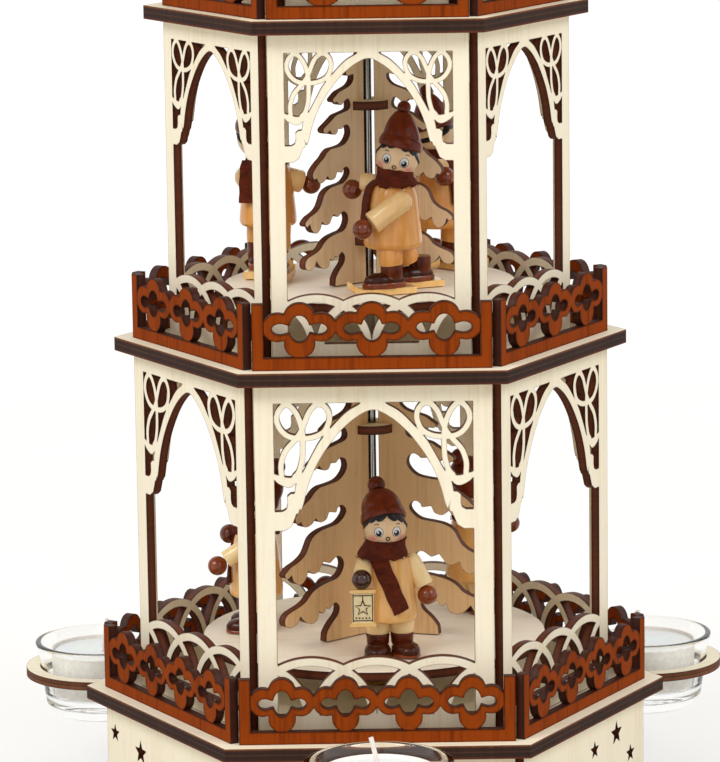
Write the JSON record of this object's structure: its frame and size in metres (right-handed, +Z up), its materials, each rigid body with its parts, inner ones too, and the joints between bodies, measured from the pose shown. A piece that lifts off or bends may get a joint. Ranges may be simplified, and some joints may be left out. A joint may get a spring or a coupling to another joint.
{
  "type": "candle carousel",
  "caption": "Tiered hexagonal wooden candle carousel: fretwork arch storeys, turning figures and trees on a spindle, a bladed wheel on top and tea lights in glasses on arms.",
  "frame": {"origin": "on the spindle axis, at the underside of the base box", "axes": "+Z up along the spindle; -Y towards the front arm and its glass; +X to the right seen from the front"},
  "size_m": [0.292, 0.2872, 0.4399],
  "materials": {
    "birch_ply": "laser-cut birch plywood with charred edges",
    "stained_ply": "plywood stained orange-brown at the railings",
    "turntable_white": "white matt",
    "tree_ply": "plywood in its own colour",
    "painted_wood": "turned wood, painted and lacquered",
    "clear_glass": "clear pressed glass",
    "wax": "white wax in a thin cup",
    "rod_steel": "bright drawn rod",
    "bearing_brass": "turned",
    "blade_birch": "thin sawn birch",
    "turned_wood": "turned and stained"
  },
  "bodies": {
    "frame": {"arch_panel_1_1": "birch_ply", "arch_panel_1_2": "birch_ply", "arch_panel_1_3": "birch_ply", "arch_panel_1_4": "birch_ply", "arch_panel_1_5": "birch_ply", "arch_panel_1_6": "birch_ply", "arch_panel_2_1": "birch_ply", "arch_panel_2_2": "birch_ply", "arch_panel_2_3": "birch_ply", "arch_panel_2_4": "birch_ply", "arch_panel_2_5": "birch_ply", "arch_panel_2_6": "birch_ply", "arch_panel_3_1": "birch_ply", "arch_panel_3_2": "birch_ply", "arch_panel_3_3": "birch_ply", "arch_panel_3_4": "birch_ply", "arch_panel_3_5": "birch_ply", "arch_panel_3_6": "birch_ply", "base_box": "birch_ply", "bearing_cup": "bearing_brass", "candle_plate": "birch_ply", "deck_1": "stained_ply", "deck_2": "stained_ply", "deck_3": "stained_ply", "roof_bush": "turned_wood", "roof_plate": "birch_ply"},
    "rotor": {"figure_1_1": "painted_wood", "figure_1_2": "painted_wood", "figure_1_3": "painted_wood", "figure_2_1": "painted_wood", "figure_2_2": "painted_wood", "figure_2_3": "painted_wood", "figure_3_1": "painted_wood", "figure_3_2": "painted_wood", "figure_3_3": "painted_wood", "spindle_rod": "rod_steel", "tree_cross_1": "tree_ply", "tree_cross_2": "tree_ply", "tree_cross_3": "tree_ply", "turntable_1": "turntable_white", "turntable_2": "turntable_white", "turntable_3": "turntable_white"},
    "wheel": {"finial": "turned_wood", "wheel_blade_1": "blade_birch", "wheel_blade_2": "blade_birch", "wheel_blade_3": "blade_birch", "wheel_blade_4": "blade_birch", "wheel_blade_5": "blade_birch", "wheel_blade_6": "blade_birch", "wheel_blade_7": "blade_birch", "wheel_blade_8": "blade_birch", "wheel_blade_9": "blade_birch", "wheel_blade_10": "blade_birch", "wheel_hub": "turned_wood"},
    "glass_1": {"candle_glass_1": "clear_glass"},
    "light_1": {"tea_light_1": "wax"},
    "glass_2": {"candle_glass_2": "clear_glass"},
    "light_2": {"tea_light_2": "wax"},
    "glass_3": {"candle_glass_3": "clear_glass"},
    "light_3": {"tea_light_3": "wax"}
  },
  "joints": [
    {"name": "spindle_spin", "type": "hinge", "parent": "frame", "child": "rotor", "pos_m": [0, 0, 0], "axis": [0, 0, 1], "continuous": true},
    {"name": "wheel_lift", "type": "slide", "parent": "rotor", "child": "wheel", "axis": [0, 0, 1], "range_m": [0, 0.03]},
    {"name": "glass_lift_1", "type": "slide", "parent": "frame", "child": "glass_1", "axis": [0, 0, 1], "range_m": [0, 0.03]},
    {"name": "light_lift_1", "type": "slide", "parent": "glass_1", "child": "light_1", "axis": [0, 0, 1], "range_m": [0, 0.03]},
    {"name": "glass_lift_2", "type": "slide", "parent": "frame", "child": "glass_2", "axis": [0, 0, 1], "range_m": [0, 0.03]},
    {"name": "light_lift_2", "type": "slide", "parent": "glass_2", "child": "light_2", "axis": [0, 0, 1], "range_m": [0, 0.03]},
    {"name": "glass_lift_3", "type": "slide", "parent": "frame", "child": "glass_3", "axis": [0, 0, 1], "range_m": [0, 0.03]},
    {"name": "light_lift_3", "type": "slide", "parent": "glass_3", "child": "light_3", "axis": [0, 0, 1], "range_m": [0, 0.03]}
  ]
}
